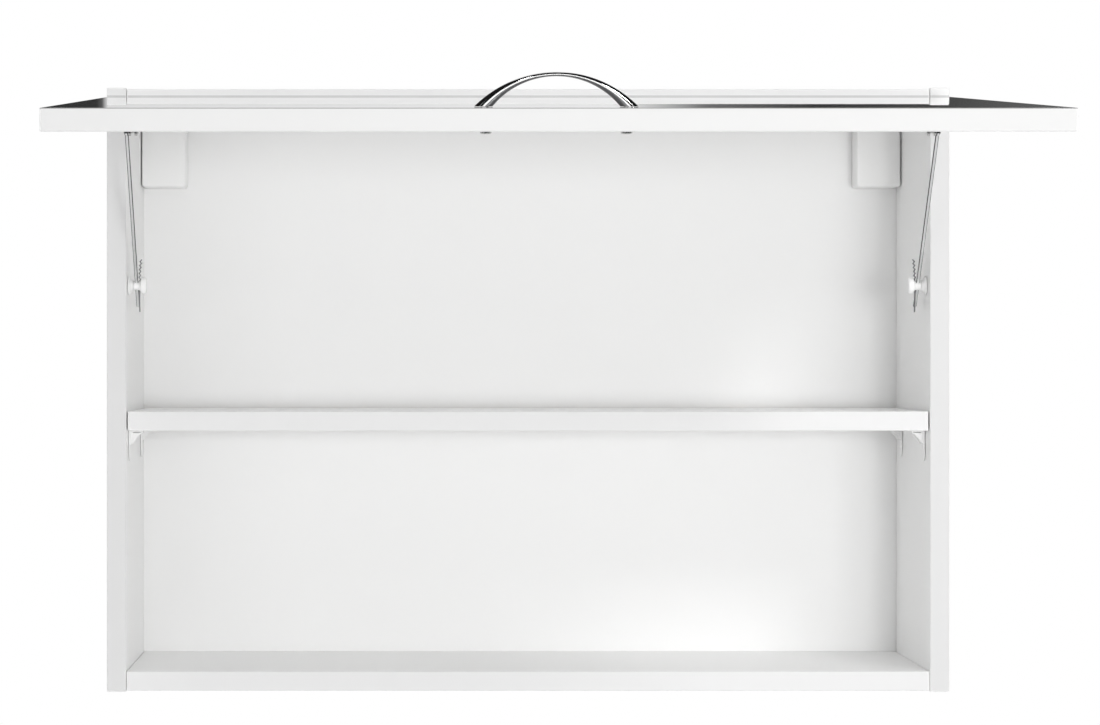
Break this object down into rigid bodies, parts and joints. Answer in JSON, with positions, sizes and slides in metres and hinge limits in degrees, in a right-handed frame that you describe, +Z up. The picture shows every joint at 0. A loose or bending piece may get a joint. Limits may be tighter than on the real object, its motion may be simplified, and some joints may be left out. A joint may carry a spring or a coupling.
{
  "type": "lift up wall cabinet",
  "caption": "White wall cabinet with a shelf and a top-hung flap door that lifts up on concealed hinges and is held open by sliding stays.",
  "frame": {"origin": "middle of the top panel's rear edge, on the wall plane", "axes": "+X to the right for someone facing the cabinet, -Y towards that person, +Z up"},
  "size_m": [0.7, 0.7038, 0.502],
  "materials": {
    "white_board": "white melamine-faced chipboard, fine satin grain",
    "back_board": "white-faced hardboard, fine satin grain",
    "door_gloss": "white chipboard with a glossy outer face",
    "white_plastic": "moulded, satin",
    "chrome": "polished",
    "zinc_steel": "nickel-plated, slightly dull",
    "beech_dowel": "fluted beech"
  },
  "bodies": {
    "carcass": {"side_panel_left": "white_board", "side_panel_right": "white_board", "top_panel": "white_board", "bottom_panel": "white_board", "back_panel": "back_board", "shelf": "white_board", "shelf_support_front_left": "white_plastic", "shelf_support_front_right": "white_plastic", "shelf_support_rear_left": "white_plastic", "shelf_support_rear_right": "white_plastic", "hanger_cover_left": "white_plastic", "hanger_cover_right": "white_plastic", "hanger_body_left": "zinc_steel", "hanger_body_right": "zinc_steel", "hanger_hook_left": "zinc_steel", "hanger_hook_right": "zinc_steel", "hinge_arm_left": "zinc_steel", "hinge_arm_right": "zinc_steel", "hinge_plate_left": "zinc_steel", "hinge_plate_right": "zinc_steel", "stay_base_left": "white_plastic", "stay_base_right": "white_plastic", "cam_top_front_left": "zinc_steel", "cam_bolt_top_front_left": "zinc_steel", "cam_top_rear_left": "zinc_steel", "cam_bolt_top_rear_left": "zinc_steel", "dowel_top_left": "beech_dowel", "cam_top_front_right": "zinc_steel", "cam_bolt_top_front_right": "zinc_steel", "cam_top_rear_right": "zinc_steel", "cam_bolt_top_rear_right": "zinc_steel", "dowel_top_right": "beech_dowel", "cam_bottom_front_left": "zinc_steel", "cam_bolt_bottom_front_left": "zinc_steel", "cam_bottom_rear_left": "zinc_steel", "cam_bolt_bottom_rear_left": "zinc_steel", "dowel_bottom_left": "beech_dowel", "cam_bottom_front_right": "zinc_steel", "cam_bolt_bottom_front_right": "zinc_steel", "cam_bottom_rear_right": "zinc_steel", "cam_bolt_bottom_rear_right": "zinc_steel", "dowel_bottom_right": "beech_dowel"},
    "door": {"door_panel": "door_gloss", "handle": "chrome", "handle_screw_left": "zinc_steel", "handle_screw_right": "zinc_steel", "hinge_cup_left": "zinc_steel", "hinge_cup_right": "zinc_steel", "stay_bracket_left": "zinc_steel", "stay_bracket_right": "zinc_steel"},
    "hinge_links": {"hinge_link_left": "zinc_steel", "hinge_link_right": "zinc_steel"},
    "stay_rod_left": {"stay_rod_left": "chrome"},
    "stay_rod_right": {"stay_rod_right": "chrome"},
    "stay_slider_left": {"stay_slider_left": "white_plastic", "stay_spring_left": "zinc_steel"},
    "stay_slider_right": {"stay_slider_right": "white_plastic", "stay_spring_right": "zinc_steel"}
  },
  "joints": [
    {"name": "door_hinge", "type": "hinge", "parent": "carcass", "child": "door", "pos_m": [0, -0.217, -0.002], "axis": [-1, 0, 0], "range_deg": [-84.4, 0]},
    {"name": "hinge_link_turn", "type": "hinge", "parent": "carcass", "child": "hinge_links", "pos_m": [0, -0.20054, -0.02213], "axis": [-1, 0, 0], "range_deg": [0, 40.3]},
    {"name": "stay_rod_left_pivot", "type": "hinge", "parent": "door", "child": "stay_rod_left", "pos_m": [-0.3267, -0.27933, -0.03243], "axis": [-1, 0, 0], "range_deg": [0, 115.14]},
    {"name": "stay_slide_left", "type": "slide", "parent": "stay_rod_left", "child": "stay_slider_left", "axis": [0, -0.6296, 0.7769], "range_m": [0, 0.06884]},
    {"name": "stay_rod_right_pivot", "type": "hinge", "parent": "door", "child": "stay_rod_right", "pos_m": [0.3267, -0.27933, -0.03243], "axis": [-1, 0, 0], "range_deg": [0, 115.14]},
    {"name": "stay_slide_right", "type": "slide", "parent": "stay_rod_right", "child": "stay_slider_right", "axis": [0, -0.6296, 0.7769], "range_m": [0, 0.06884]}
  ],
  "couplings": [
    {"joint": "hinge_link_turn", "follows": "door_hinge", "ratio": -0.47753},
    {"joint": "stay_rod_left_pivot", "follows": "door_hinge", "ratio": -1.3643},
    {"joint": "stay_slide_left", "follows": "door_hinge", "m_per_rad": -0.046733},
    {"joint": "stay_rod_right_pivot", "follows": "door_hinge", "ratio": -1.3643},
    {"joint": "stay_slide_right", "follows": "door_hinge", "m_per_rad": -0.046733}
  ]
}
